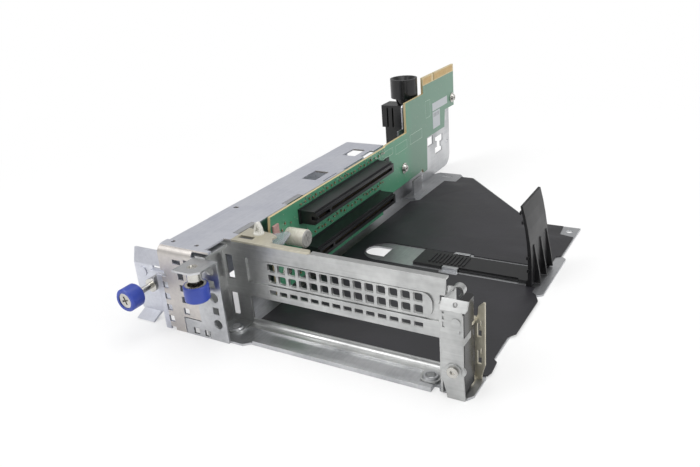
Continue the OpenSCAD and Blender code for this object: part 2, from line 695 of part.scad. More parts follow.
// Card connector: a long housing with a keyed slot in its face and its contact rows inside
module card_connector(mid) {
  color([0.08, 0.08, 0.09]) difference() {
    union() {
      box([-board_d, -board_d + conn_h], [conn_y, conn_y + conn_l],
        [mid - conn_w / 2, mid + conn_w / 2]);
      // locating ridge round the foot of the housing
      box([-board_d, -board_d + 1.2], [conn_y - 0.6, conn_y + conn_l + 0.6],
        [mid - conn_w / 2 - 0.4, mid + conn_w / 2 + 0.4]);
    }
    for (y = [[2.4, 13.6], [15.4, conn_l - 2.4]])
      box([-board_d + 2.6, -board_d + conn_h + over], [conn_y + y[0], conn_y + y[1]],
        [mid - 1, mid + 1]);
    // step along each side of the mouth
    for (s = [-1, 1]) box([-board_d + conn_h - 1.4, -board_d + conn_h + over],
      [conn_y - over, conn_y + conn_l + over],
      [mid + s * (conn_w / 2 - 0.5) - 0.5, mid + s * (conn_w / 2 - 0.5) + 0.5]);
    box([-board_d + conn_h - 3.2, -board_d + conn_h + over], [conn_y - over, conn_y + 1.6],
      [mid - 1, mid + 1]);
  }
}

module connector_upper() card_connector(slot_mid[1] + conn_dz);
module connector_lower() card_connector(slot_mid[0] + conn_dz);

module capacitor() color([0.80, 0.78, 0.72]) translate([-board_d, 38.8, 32]) rotate([0, 90, 0])
  difference() {
    union() {
      cylinder(h = cap_l - 0.6, r = cap_d / 2);
      translate([0, 0, cap_l - 0.6]) cylinder(h = 0.6, r1 = cap_d / 2, r2 = cap_d / 2 - 0.7);
    }
    // crimped neck and the score in the vent face
    translate([0, 0, 1.8]) rotate_extrude() translate([cap_d / 2, 0]) circle(0.45, $fn = 16);
    for (a = [0, 60, 120]) rotate([0, 0, a + 15]) translate([-3, -0.15, cap_l - 0.25]) cube([6, 0.3, 1]);
  }

/* ---------- hook under the board and the socket behind it ---------- */

module board_hook() color([0.82, 0.82, 0.84]) {
  // lanced from the base plate: a foot, a riser and a lip that the board's edge rests on
  box([-5.6, 2.4], [181, 200], [t, 2 * t]);
  box([-board_d + 0.1, -board_d + 0.1 + t], [186, 199], [t, 12.6]);
}

socket_c = [-14.5, 205];
socket_top = 79.5;
post_l = -29.6;                             // outer face of the block that carries the socket
socket_r = 9.3;

module locating_socket() color([0.09, 0.09, 0.10]) translate([socket_c[0], socket_c[1], 0]) {
  difference() {
    union() {
      translate([0, 0, 66.6]) cylinder(h = socket_top - 66.6, r = socket_r);
      translate([0, 0, 62]) cylinder(h = 4.7, r1 = 5.2, r2 = 6.6);
    }
    translate([0, 0, socket_top - 9]) cylinder(h = 10, r = 5.6);
    translate([0, 0, socket_top - 2.6]) cylinder(h = 3, r1 = 5.6, r2 = 8.2);
  }
}

module socket_post() color([0.08, 0.08, 0.09]) {
  difference() {
    union() {
      box([post_l, carrier_x], [198.6, 211.4], [46, 61.4]);
      box([post_l + 1.6, carrier_x], [200, 210], [24, 46]);
      translate([socket_c[0], socket_c[1], 61.3]) cylinder(h = 0.7, r = 5);
    }
    // grooves down the outer faces
    for (y = [202, 207.4]) box([post_l - over, post_l + 1], [y, y + 1.6], [20, 60]);
    for (x = [post_l + 4, post_l + 8]) box([x, x + 1.6], [198, 199.6], [20, 60]);
  }
}

/* ---------- card guide: arm and fin ---------- */

fin_x = 112.4;                            // outer face of the fin at its foot
fin_lean = 5.4;                           // how far the fin leans towards the board
fin_y = [arm_y + 2.3 - fin_w / 2, arm_y + 2.3 + fin_w / 2];
fin_z = film_z + 0.2;
rib_n = 3;

// Section of the fin: thick at the foot, thin and leaning at the top
module fin_section() polygon([[fin_x - 3, fin_z], [fin_x, fin_z],
  for (k = [0 : 6]) [fin_x - fin_lean * pow(k / 6, 2), fin_z + 4 + (fin_h - 4) * k / 6],
  for (k = [6 : -1 : 0]) [fin_x - 1.2 - 0.9 * (1 - k / 6) - fin_lean * pow(k / 6, 2),
    fin_z + 4 + (fin_h - 4) * k / 6]]);

module card_guide() color([0.13, 0.13, 0.14]) {
  arm_top = arm_z + arm_t;
  difference() {
    union() {
      box([arm_x[0], arm_x[1] + 1], [arm_y - arm_w / 2, arm_y + arm_w / 2], [arm_z, arm_top]);
      // finger ribs and the pull step
      for (k = [0 : 9]) box([52 + 2.2 * k, 53 + 2.2 * k], [arm_y - 5.6, arm_y + 5.6],
        [arm_top - 0.1, arm_top + 0.5]);
    }
    // rebate under the lugs, as long as the travel
    for (s = [-1, 1]) box([lug_x[0] - 1, arm_x[1] - 6],
      [arm_y + s * (arm_w / 2 - rebate / 2) - rebate / 2 - (s < 0 ? over : 0),
       arm_y + s * (arm_w / 2 - rebate / 2) + rebate / 2 + (s > 0 ? over : 0)],
      [arm_z + rebate_t, arm_top + over]);
  }
  // foot that joins the arm to the fin
  box([arm_x[1] - 0.6, fin_x], fin_y, [fin_z, fin_z + 3]);
  box([arm_x[1], fin_x], [arm_y - arm_w / 2, arm_y + arm_w / 2], [arm_z, fin_z + 1]);
  translate([0, fin_y[1], 0]) rotate([90, 0, 0]) linear_extrude(fin_w) fin_section();
  // tapering ribs on the outer face
  for (k = [0 : rib_n - 1])
    translate([0, fin_y[0] + 6 + k * (fin_w - 8) / (rib_n - 1) , 0]) rotate([90, 0, 0])
      linear_extrude(1.2) polygon([[fin_x - 1, fin_z], [fin_x + 3.2, fin_z],
        [fin_x + 2.4, fin_z + 6], [fin_x - 0.6, fin_z + 21], [fin_x - 1.8, fin_z + 21]]);
  // small catches on the front edge
  for (z = [8, 15, 34, 39])
    box([fin_x - 2.2 - fin_lean * pow(z / fin_h, 2), fin_x - 1.2 - fin_lean * pow(z / fin_h, 2)],
      [fin_y[0] - 1, fin_y[0] + 1], [fin_z + z, fin_z + z + 1.6]);
}

/* ---------- thumbscrews ---------- */

thread_d = 2.5;
clip_t = 0.8;
tail_l = 3;                               // screw beyond the sheet, behind its clip
bore_gap = 0.3;                           // room between the ferrule and the core's hollow
ring_r = 2.6;                             // radius of the captive rings
chamber = 4.2;                            // length of the chamber for the right ring
chamber_z = 0.3;
ring_z = chamber_z + chamber - clip_t;    // the right ring rests on the chamber's lower end

// Left screws run along -Y, right screws along -Z; both are drawn with the sheet at z = 0
// and the knob on the +Z side.
module to_left() translate([left_screw[0], -flange_d, left_screw[1]]) rotate([90, 0, 0]) children();
module to_right() translate([right_screw[0], right_screw[1], panel_top - t]) rotate([180, 0, 0])
  children();

core_d = 10;                              // metal core inside the coloured sleeve
disc_d = 8;                               // its face in front, framed by the sleeve
cup = 5.4;                                // depth of the core's hollow

module ferrule(inner) difference() {
  union() {
    cylinder(h = ferrule_l, r = ferrule_d / 2);
    translate([0, 0, -t]) cylinder(h = t + 0.1, r = ferrule_d / 2 - 1);
  }
  translate([0, 0, -t - over]) cylinder(h = ferrule_l + t + 2, r = shank_d / 2 + 0.05);
  // chamber for a ring inside the ferrule
  if (inner > 0) translate([0, 0, chamber_z]) cylinder(h = inner, r = ring_r + 0.1);
}

module screw_ferrules() color("silver") {
  to_left() ferrule(0);
  to_right() ferrule(chamber);
}

// Screw with a cupped core; the cross recess is in its front face
module screw(pull, tail, groove) translate([0, 0, ferrule_l + pull]) difference() {
  union() {
    translate([0, 0, -tail]) cylinder(h = tail + cup + 0.1, r = shank_d / 2);
    cylinder(h = knob_l - 0.8, r = core_d / 2);
    cylinder(h = knob_l - 0.4, r = disc_d / 2);
  }
  translate([0, 0, -over]) difference() {
    cylinder(h = over + cup, r = ferrule_d / 2 + bore_gap);
    cylinder(h = over + cup, r = shank_d / 2);
  }
  translate([0, 0, groove]) rotate_extrude() rect([shank_d / 2 - 0.4, shank_d], [0, clip_t]);
  translate([0, 0, knob_l - 1.6]) for (a = [0, 90]) rotate([0, 0, a + 20])
    translate([-2.2, -0.45, 0]) cube([4.4, 0.9, 2]);
}

module knob(pull) translate([0, 0, ferrule_l + pull]) difference() {
  union() {
    cylinder(h = 0.7, r1 = knob_d / 2 - 0.5, r2 = knob_d / 2);
    translate([0, 0, 0.7]) cylinder(h = knob_l - 1.4, r = knob_d / 2);
    translate([0, 0, knob_l - 0.7]) cylinder(h = 0.7, r1 = knob_d / 2, r2 = knob_d / 2 - 0.7);
  }
  translate([0, 0, -over]) cylinder(h = over + knob_l - 0.8, r = core_d / 2);
  translate([0, 0, knob_l - 1.8]) cylinder(h = 3, r = disc_d / 2);
}

// Open ring in the screw's groove that keeps it captive
module clip(z) translate([0, 0, z]) difference() {
  cylinder(h = clip_t, r = ring_r);
  translate([0, 0, -over]) cylinder(h = clip_t + 2, r = shank_d / 2 - 0.4 + pin_gap);
  translate([0, -0.5, -over]) cube([6, 1, clip_t + 2]);
}

module left_screw() color([0.55, 0.52, 0.50]) to_left()
  screw(left_pull, ferrule_l + left_pull + t + clip_t + tail_l, -ferrule_l - left_pull - t - clip_t);
module left_knob() color([0.22, 0.33, 0.75]) to_left() knob(left_pull);
module left_clip() color("silver") to_left() clip(-t - clip_t);
module right_screw() color([0.55, 0.52, 0.50]) to_right()
  screw(right_pull, ferrule_l + right_pull + 0.6, ring_z - ferrule_l - right_pull);
module right_knob() color([0.22, 0.33, 0.75]) to_right() knob(right_pull);
module right_clip() color("silver") to_right() clip(ring_z);

base_plate();
insulating_film();
slot_frame();
cage_channel();
front_panel();
foot_grommets();
board_carrier();
retainer_post();
post_screw();
latch_flange();
slot_latch();
latch_band();
slot_filler();
top_bracket();
support_clip();
clear_tongue();
riser_board();
edge_contacts();
connector_upper();
connector_lower();
capacitor();
board_standoffs();
board_screws();
board_hook();
locating_socket();
socket_post();
card_guide();
screw_ferrules();
left_screw();
left_knob();
left_clip();
right_screw();
right_knob();
right_clip();
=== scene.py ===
# %% [markdown]
# # Riser cage bracket: looks
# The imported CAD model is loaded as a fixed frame, and this lesson gives it finishes and small
# detail: zinc-plated steel, moulded plastics, green solder mask, a wrinkled insulating film and
# the parts soldered to the board. The solids could be modelled again here, but their sizes are
# already right, so only their surfaces change. Lengths are in metres; MM turns a value given
# in millimetres into metres.

# %% Load the frame
import math
import random

import bmesh
import bpy
from mathutils import Matrix, Vector
from mathutils.kdtree import KDTree


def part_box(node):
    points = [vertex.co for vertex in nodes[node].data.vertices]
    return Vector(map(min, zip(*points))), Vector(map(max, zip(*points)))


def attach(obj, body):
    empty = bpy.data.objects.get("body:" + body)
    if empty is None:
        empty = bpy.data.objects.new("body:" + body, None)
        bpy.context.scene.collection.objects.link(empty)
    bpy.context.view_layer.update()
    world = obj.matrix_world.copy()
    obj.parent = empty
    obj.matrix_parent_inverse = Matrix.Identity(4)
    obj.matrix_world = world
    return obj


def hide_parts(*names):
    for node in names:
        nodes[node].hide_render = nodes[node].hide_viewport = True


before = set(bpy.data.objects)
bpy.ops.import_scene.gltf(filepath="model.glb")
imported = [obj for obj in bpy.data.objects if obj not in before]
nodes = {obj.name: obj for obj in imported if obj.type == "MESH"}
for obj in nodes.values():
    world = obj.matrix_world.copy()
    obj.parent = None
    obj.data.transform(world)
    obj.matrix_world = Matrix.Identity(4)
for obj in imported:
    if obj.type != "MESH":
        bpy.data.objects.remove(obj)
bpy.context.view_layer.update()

MM = 0.001
root_body = "cage"

# %% [markdown]
# **Helpers.** Colours are written as the hex values that a colour picker gives. Shaders work
# with linear light, so one function turns the first into the second. Patterns are sized by
# what they stand for, so a second function turns a size in millimetres into a texture scale.
# A third adds any shader node with its settings, its links and, for a ramp, its colour stops.
# A material could also be built by hand in the node editor, but code can be read and rerun.

# %% Helpers for colour and shader nodes
def srgb(code):
    """Linear RGBA from a hex colour such as "#c8c9cb"."""
    values = [int(code[i:i + 2], 16) / 255 for i in (1, 3, 5)]
    return tuple(v / 12.92 if v <= 0.04045 else ((v + 0.055) / 1.055) ** 2.4 for v in values) + (1.0,)


def grey(value):
    """A linear grey."""
    return (value, value, value, 1.0)


def per(size_mm):
    """Texture scale of a pattern that repeats about every size_mm."""
    return 1.0 / (size_mm * MM)


def add(tree, kind, settings=None, inputs=None, stops=()):
    """One shader node: settings are its attributes, inputs are values or sockets to link, and
    stops are the (position, linear colour) pairs of its colour ramp."""
    made = tree.nodes.new("ShaderNode" + kind)
    for key, value in (settings or {}).items():
        setattr(made, key, value)
    for key, value in (inputs or {}).items():
        if isinstance(value, bpy.types.NodeSocket):
            tree.links.new(value, made.inputs[key])
        else:
            made.inputs[key].default_value = value
    for i, (place, colour) in enumerate(stops):
        if i == len(made.color_ramp.elements):
            made.color_ramp.elements.new(1.0)
        made.color_ramp.elements[i].position = place
        made.color_ramp.elements[i].color = colour
    return made


def start_material(name):
    """An empty material, its node tree and a coordinate node in the frame of the part."""
    made = bpy.data.materials.new(name)
    made.use_nodes = True
    made.node_tree.nodes.clear()
    return made, made.node_tree, add(made.node_tree, "TexCoord")


print("mid grey in linear light:", round(srgb("#808080")[0], 4))

# %% [markdown]
# ** Plated steel.** The cage is folded from zinc-plated sheet. Rolling leaves streaks about a
# millimetre wide along the sheet, the zinc grows in grains of two or three millimetres, and
# handling leaves soft patches of two centimetres. The eye reads a soft mirror whose blur
# changes from place to place. An even grey metal would look like paint, so the same noise
# drives both colour and roughness. The Bevel node rounds cut edges in the shading alone, so
# they catch a thin highlight without more triangles. A warm painted reflection can be given:
# the front faces of the channel are tinted as if they mirrored a warmer part of the room.

# %% Plated steel
streak_share, grain_share = 0.45, 0.12
edge_round = 0.22 * MM
channel_left = -37.5 * MM
fine_streak, long_streak = per(1.1111), per(40)


def plated_steel(name, light, dark, stretch, rough=(0.30, 0.46), metal=1.0, painted_reflection_tint=None):
    """Plated sheet; stretch is the scale of the streaks along X, Y and Z."""
    made, tree, coord = start_material(name)
    streaks_at = add(tree, "Mapping", {}, {"Vector": coord.outputs["Object"], "Scale": stretch})
    streaks = add(tree, "TexNoise", {}, {"Vector": streaks_at.outputs[0], "Scale": 1.0,
                                         "Detail": 6.0, "Roughness": 0.7})
    patches = add(tree, "TexNoise", {}, {"Vector": coord.outputs["Object"], "Scale": per(22.22),
                                         "Detail": 3.0, "Roughness": 0.5})
    grains = add(tree, "TexVoronoi", {}, {"Vector": coord.outputs["Object"], "Scale": per(2.381)})
    wear = add(tree, "Math", {"operation": "MULTIPLY_ADD"},
               {0: streaks.outputs["Fac"], 1: streak_share, 2: patches.outputs["Fac"]})
    wear_and_grain = add(tree, "Math", {"operation": "MULTIPLY_ADD"},
                         {0: grains.outputs["Distance"], 1: grain_share, 2: wear.outputs[0]})
    colour = add(tree, "ValToRGB", {}, {"Fac": wear_and_grain.outputs[0]}, [(0.45, dark), (0.95, light)])
    # painted reflection: faces that look forward, right of the channel's left edge, are multiplied by a warm tint
    if painted_reflection_tint:
        geometry = add(tree, "NewGeometry")
        facing = add(tree, "SeparateXYZ", {}, {"Vector": geometry.outputs["True Normal"]})
        place = add(tree, "SeparateXYZ", {}, {"Vector": coord.outputs["Object"]})
        ahead = add(tree, "Math", {"operation": "LESS_THAN"}, {0: facing.outputs["Y"], 1: -0.5})
        right_of = add(tree, "Math", {"operation": "GREATER_THAN"}, {0: place.outputs["X"], 1: channel_left})
        mask = add(tree, "Math", {"operation": "MULTIPLY"}, {0: ahead.outputs[0], 1: right_of.outputs[0]})
        colour = add(tree, "MixRGB", {"blend_type": "MULTIPLY"}, {
            "Fac": mask.outputs[0], "Color1": colour.outputs[0], "Color2": painted_reflection_tint})
    gloss = add(tree, "MapRange", {}, {"Value": wear.outputs[0], "From Min": 0.45, "From Max": 0.95,
                                       "To Min": rough[1], "To Max": rough[0]})
    edge = add(tree, "Bevel", {"samples": 4}, {"Radius": edge_round})
    bump = add(tree, "Bump", {}, {"Height": streaks.outputs["Fac"], "Strength": 0.06,
                                  "Distance": 0.05 * MM, "Normal": edge.outputs[0]})
    steel = add(tree, "BsdfPrincipled", {}, {
        "Base Color": colour.outputs[0], "Metallic": metal, "Roughness": gloss.outputs[0],
        "Normal": bump.outputs[0]})
    add(tree, "OutputMaterial", {}, {"Surface": steel.outputs[0]})
    return made


# %% [markdown]
# **Five steels.** The base plate was rolled along the part, the slot frame across it, so the
# streaks turn. A passivation makes the channel cooler and a little less metallic, and the
# flange and the bracket are nickel, which is warmer. The screws are turned, so they shine more.

# %% Five steels
zinc = plated_steel("zinc plated sheet, rolled along Y", srgb("#cfd0d2"), srgb("#a3a5a8"),
                    (fine_streak, long_streak, fine_streak))
zinc_x = plated_steel("zinc plated sheet, rolled along X", srgb("#cdcecd"), srgb("#a2a3a3"),
                      (long_streak, fine_streak, fine_streak))
# the last colour is a painted warm reflection on the front faces of the channel
top_steel = plated_steel("zinc plated sheet with a cool passivation", srgb("#dcdee6"), srgb("#bfc1cb"),
                         (per(1.4286), per(50), per(1.4286)), (0.38, 0.52), 0.85, srgb("#f8f0e2"))
warm_steel = plated_steel("nickel plated sheet with a warm tone", srgb("#dcd7c6"), srgb("#b9b3a0"),
                          (per(3.3333), per(25), per(3.3333)), (0.38, 0.5), 0.85)
screw_steel = plated_steel("bright nickel on turned steel", srgb("#d8d6d0"), srgb("#9a9894"),
                           (per(16.667), per(16.667), per(16.667)), (0.16, 0.30))
print("steels:", [m.name for m in (zinc, zinc_x, top_steel, warm_steel, screw_steel)])

# %% [markdown]
# **Moulded plastics.** Glass-filled nylon is black with a spark-eroded grain of half a
# millimetre, drawn a little coarse so that it shows; the latch and the socket are polished; the
# card connectors are a satin liquid-crystal polymer; the knobs are smooth blue nylon. They are
# one function, because only colour, gloss and the depth of the grain differ. A cloudy noise
# moves tone and gloss slightly, as a mould's flow does, so the flat sides don't look dead.

# %% Moulded plastics
def moulded(name, colour, shade, rough, grain=0.15):
    """Moulded plastic; grain is the strength of its fine bump."""
    made, tree, coord = start_material(name)
    fine = add(tree, "TexNoise", {}, {"Vector": coord.outputs["Object"], "Scale": per(0.45455),
                                      "Detail": 3.0})
    cloud = add(tree, "TexNoise", {}, {"Vector": coord.outputs["Object"], "Scale": per(16.667),
                                       "Detail": 4.0})
    tone = add(tree, "ValToRGB", {}, {"Fac": cloud.outputs["Fac"]}, [(0.35, shade), (0.7, colour)])
    gloss = add(tree, "MapRange", {}, {"Value": cloud.outputs["Fac"], "From Min": 0.3, "From Max": 0.7,
                                       "To Min": rough * 0.85, "To Max": rough * 1.2})
    edge = add(tree, "Bevel", {"samples": 4}, {"Radius": 0.2 * MM})
    bump = add(tree, "Bump", {}, {"Height": fine.outputs["Fac"], "Strength": grain,
                                  "Distance": 0.04 * MM, "Normal": edge.outputs[0]})
    skin = add(tree, "BsdfPrincipled", {}, {
        "Base Color": tone.outputs[0], "Roughness": gloss.outputs[0], "Normal": bump.outputs[0]})
    add(tree, "OutputMaterial", {}, {"Surface": skin.outputs[0]})
    return made


black_nylon = moulded("black glass-filled nylon", srgb("#1c1c1e"), srgb("#121214"), 0.42, 0.3)
latch_black = moulded("glossy black nylon", srgb("#111113"), srgb("#0a0a0b"), 0.22, 0.08)
socket_black = moulded("black acetal, turned", srgb("#0d0d0f"), srgb("#070708"), 0.2, 0.05)
connector_black = moulded("black liquid-crystal polymer", srgb("#232426"), srgb("#161618"), 0.34, 0.1)
knob_blue = moulded("touch-point blue nylon", srgb("#3f55b8"), srgb("#2f439c"), 0.34, 0.12)
white_nylon = moulded("natural white nylon", srgb("#f1f0ea"), srgb("#dcdbd4"), 0.36, 0.05)
print("plastics:", [m.name for m in (black_nylon, latch_black, socket_black, connector_black,
                                     knob_blue, white_nylon)])

# %% [markdown]
# **Insulating film.** A half-millimetre black polyester sheet keeps the cards off the steel.
# Calendering leaves a satin face with a grain of 0.6 mm, and rolling it up leaves shallow dents
# of about two centimetres, which break its reflections. Both are bump here; the large waves
# change the outline, so they are modelled further down.

# %% Insulating film
film_black, tree, coord = start_material("black polyester film, calendered")
grain = add(tree, "TexNoise", {}, {"Vector": coord.outputs["Object"], "Scale": per(0.625), "Detail": 2.0})
smear = add(tree, "TexNoise", {}, {"Vector": coord.outputs["Object"], "Scale": per(45.455),
                                   "Detail": 5.0, "Roughness": 0.6})
tone = add(tree, "ValToRGB", {}, {"Fac": smear.outputs["Fac"]},
           [(0.3, srgb("#1f1f22")), (0.75, srgb("#2c2b30"))])
gloss = add(tree, "MapRange", {}, {"Value": smear.outputs["Fac"], "From Min": 0.3, "From Max": 0.7,
                                   "To Min": 0.36, "To Max": 0.5})
creases = add(tree, "TexNoise", {}, {"Vector": coord.outputs["Object"], "Scale": per(18.182),
                                     "Detail": 3.0, "Roughness": 0.45, "Distortion": 0.6})
dents = add(tree, "Bump", {}, {"Height": creases.outputs["Fac"], "Strength": 0.5, "Distance": 0.9 * MM})
bump = add(tree, "Bump", {}, {"Height": grain.outputs["Fac"], "Strength": 0.18, "Distance": 0.03 * MM,
                              "Normal": dents.outputs[0]})
skin = add(tree, "BsdfPrincipled", {}, {"Base Color": tone.outputs[0], "Roughness": gloss.outputs[0],
                                        "Normal": bump.outputs[0]})
add(tree, "OutputMaterial", {}, {"Surface": skin.outputs[0]})
print("film:", film_black.name)

# %% [markdown]
# **Circuit board: tracks and vias.** Solder mask is a green lacquer over copper, so tracks show
# as slightly lighter, raised lines. Real artwork could be drawn as curves, but from a step away
# only its rhythm shows, so a brick pattern with a 22 mm unit stands for the tracks, drawn wider
# than real ones so that they show, and Voronoi dots 3 mm apart stand for the vias.

# %% Circuit board: tracks and vias
board_lo, board_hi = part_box("riser_board")
board_green, tree, coord = start_material("green solder mask over copper, laminate at the edges")
turned = add(tree, "Mapping", {}, {"Vector": coord.outputs["Object"],
                                   "Rotation": (math.radians(90), 0, math.radians(90))})
tracks = add(tree, "TexBrick", {"offset": 0.35, "squash": 1.4}, {
    "Vector": turned.outputs[0], "Color1": grey(0.0), "Color2": grey(0.15), "Mortar": grey(1.0),
    "Scale": per(21.739), "Mortar Size": 0.02, "Brick Width": 0.9, "Row Height": 0.09})
vias = add(tree, "TexVoronoi", {"feature": "F1"}, {"Vector": coord.outputs["Object"],
                                                   "Scale": per(3.0303), "Randomness": 0.8})
via_mask = add(tree, "Math", {"operation": "LESS_THAN"}, {0: vias.outputs["Distance"], 1: 0.13})
cloud = add(tree, "TexNoise", {}, {"Vector": coord.outputs["Object"], "Scale": per(28.571), "Detail": 4.0})
base = add(tree, "ValToRGB", {}, {"Fac": cloud.outputs["Fac"]},
           [(0.3, srgb("#174c33")), (0.7, srgb("#256244"))])
with_tracks = add(tree, "MixRGB", {}, {"Fac": tracks.outputs["Color"], "Color1": base.outputs[0],
                                       "Color2": srgb("#4f9473")})
with_vias = add(tree, "MixRGB", {}, {"Fac": via_mask.outputs[0], "Color1": with_tracks.outputs[0],
                                     "Color2": srgb("#8fa98d")})
print("board spans", [round(v / MM, 1) for v in board_hi - board_lo], "mm")

# %% [markdown]
# **Circuit board: edges, fingers and tail.** The sawn edge and the strip between the contacts
# show the straw-coloured laminate. Both could be separate faces with their own material; here
# a mask does it, from the direction of the face and the height above the table. The tail is
# mostly copper under the mask, which gives it a greyer green, so a soft step along Y mutes it.

# %% Circuit board: edges, fingers and tail
bare_strip = 5.6 * MM
tail_from, tail_to = 176 * MM, 190 * MM
geometry = add(tree, "NewGeometry")
facing = add(tree, "SeparateXYZ", {}, {"Vector": geometry.outputs["True Normal"]})
flat = add(tree, "Math", {"operation": "ABSOLUTE"}, {0: facing.outputs["X"]})
on_face = add(tree, "Math", {"operation": "GREATER_THAN"}, {0: flat.outputs[0], 1: 0.5})
place = add(tree, "SeparateXYZ", {}, {"Vector": coord.outputs["Object"]})
below_fingers = add(tree, "Math", {"operation": "LESS_THAN"}, {0: place.outputs["Z"],
                                                               1: board_hi.z - bare_strip})
masked = add(tree, "Math", {"operation": "MULTIPLY"}, {0: on_face.outputs[0], 1: below_fingers.outputs[0]})
tail = add(tree, "MapRange", {}, {"Value": place.outputs["Y"], "From Min": tail_from, "From Max": tail_to,
                                  "To Min": 0.0, "To Max": 0.55})
muted = add(tree, "MixRGB", {}, {"Fac": tail.outputs[0], "Color1": with_vias.outputs[0],
                                 "Color2": srgb("#6c7f74")})
colour = add(tree, "MixRGB", {}, {"Fac": masked.outputs[0], "Color1": srgb("#cbb98c"),
                                  "Color2": muted.outputs[0]})
bump = add(tree, "Bump", {}, {"Height": tracks.outputs["Color"], "Strength": 0.25, "Distance": 0.05 * MM})
lacquer = add(tree, "BsdfPrincipled", {}, {"Base Color": colour.outputs[0], "Roughness": 0.34,
                                           "Coat Weight": 0.25, "Coat Roughness": 0.15,
                                           "Normal": bump.outputs[0]})
add(tree, "OutputMaterial", {}, {"Surface": lacquer.outputs[0]})
print("laminate shows above z =", round((board_hi.z - bare_strip) / MM, 1), "mm")

# %% [markdown]
# **Small finishes.** Gold over nickel is on the edge contacts, thin gilt on the springs of the
# connectors, tin on the solder joints; chips are ceramic or epoxy; labels are coated paper; the
# pad is foam and the tongue clear polycarbonate. These pieces are a few millimetres long, so
# one function with a faint speckle is enough for all of them.

# %% Small finishes
def plain_finish(name, colour, rough, metal=0.0, speck=0.08, scale=per(1.1111), extra=None):
    """An even finish with a faint speckle, which darkens it by up to twice speck."""
    made, tree, coord = start_material(name)
    noise = add(tree, "TexNoise", {}, {"Vector": coord.outputs["Object"], "Scale": scale, "Detail": 3.0})
    dark = tuple(c * (1 - speck * 2) for c in colour[:3]) + (1.0,)
    tone = add(tree, "ValToRGB", {}, {"Fac": noise.outputs["Fac"]}, [(0.3, dark), (0.7, colour)])
    shader = add(tree, "BsdfPrincipled", {}, {"Base Color": tone.outputs[0], "Roughness": rough,
                                              "Metallic": metal, **(extra or {})})
    add(tree, "OutputMaterial", {}, {"Surface": shader.outputs[0]})
    return made


gold = plain_finish("hard gold over nickel", srgb("#cfae78"), 0.3, 1.0, 0.05, per(3.3333))
gilt = plain_finish("thin gilt on a contact spring", srgb("#a59675"), 0.38, 1.0, 0.05, per(3.3333))
tin = plain_finish("reflowed tin", srgb("#c9cacc"), 0.3, 1.0, 0.1)
ceramic = plain_finish("brown ceramic chip body", srgb("#9c7c58"), 0.5)
chip_black = plain_finish("black epoxy package", srgb("#1b1c1e"), 0.45)
paper = plain_finish("white label stock", srgb("#c4c8cc"), 0.6, 0.0, 0.02)
ink = plain_finish("grey label ink", srgb("#8f9296"), 0.7, 0.0, 0.05)
silk = plain_finish("white legend ink", srgb("#c8dccf"), 0.6, 0.0, 0.05)
pad_pink = plain_finish("pink foam pad", srgb("#c9a09a"), 0.8)
tongue_clear = plain_finish("clear polycarbonate", srgb("#dfe4ea"), 0.12, 0.0, 0.02, per(5),
                            {"Transmission Weight": 0.75, "IOR": 1.58})
small = (gold, gilt, tin, ceramic, chip_black, paper, ink, silk, pad_pink, tongue_clear)
print("small finishes:", [m.name for m in small])

# %% [markdown]
# **Capacitor.** A shrunk cream sleeve covers the aluminium can and leaves its crimped face
# bare. The can is one solid, so the face could get its own material slot; a mask on X does the
# same without touching the mesh. The bare face is a little greyer and shinier than the sleeve.

# %% Capacitor
cap_lo, cap_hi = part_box("capacitor")
can, tree, coord = start_material("cream sleeve over an aluminium can")
place = add(tree, "SeparateXYZ", {}, {"Vector": coord.outputs["Object"]})
face = add(tree, "Math", {"operation": "GREATER_THAN"}, {0: place.outputs["X"], 1: cap_hi.x - 0.5 * MM})
speck = add(tree, "TexNoise", {}, {"Vector": coord.outputs["Object"], "Scale": per(1.4286), "Detail": 4.0})
sleeve = add(tree, "ValToRGB", {}, {"Fac": speck.outputs["Fac"]},
             [(0.3, srgb("#cfcabb")), (0.7, srgb("#e4e0d4"))])
tone = add(tree, "MixRGB", {}, {"Fac": face.outputs[0], "Color1": sleeve.outputs[0],
                                "Color2": srgb("#a9a8a4")})
gloss = add(tree, "MapRange", {}, {"Value": face.outputs[0], "To Min": 0.38, "To Max": 0.3})
shader = add(tree, "BsdfPrincipled", {}, {"Base Color": tone.outputs[0], "Roughness": gloss.outputs[0],
                                          "Metallic": 0.0})
add(tree, "OutputMaterial", {}, {"Surface": shader.outputs[0]})
print("capacitor face at x =", round(cap_hi.x / MM, 2), "mm")

# %% [markdown]
# **Which piece has which finish.** Each CAD node gets one material. A table from finish to
# nodes is easier to check than a list of assignments, and a loop then applies it.

# %% Which piece has which finish
finishes = {
    zinc: ["base_plate", "board_carrier", "front_panel", "board_hook", "foot_grommets"],
    zinc_x: ["slot_frame", "slot_filler", "retainer_post", "latch_band"],
    top_steel: ["cage_channel"],
    warm_steel: ["latch_flange", "top_bracket"],
    screw_steel: ["post_screw", "board_standoffs", "board_screws", "screw_ferrules", "left_screw",
                  "left_clip", "right_screw", "right_clip"],
    film_black: ["insulating_film"],
    latch_black: ["slot_latch"],
    black_nylon: ["card_guide"],
    socket_black: ["locating_socket", "socket_post"],
    connector_black: ["connector_upper", "connector_lower"],
    knob_blue: ["left_knob", "right_knob"],
    white_nylon: ["support_clip"],
    tongue_clear: ["clear_tongue"],
    board_green: ["riser_board"],
    gold: ["edge_contacts"],
    can: ["capacitor"],
}
for finish, names in finishes.items():
    for name in names:
        nodes[name].data.materials.clear()
        nodes[name].data.materials.append(finish)
print("finished nodes:", sum(len(v) for v in finishes.values()))

# %% [markdown]
# **Building small pieces.** Chips, labels and contacts are many small blocks. Each could be an
# object of its own, but hundreds of objects are slow to handle. One function gathers them in a
# single mesh, so a row of contacts is one object, and can chamfer their edges.

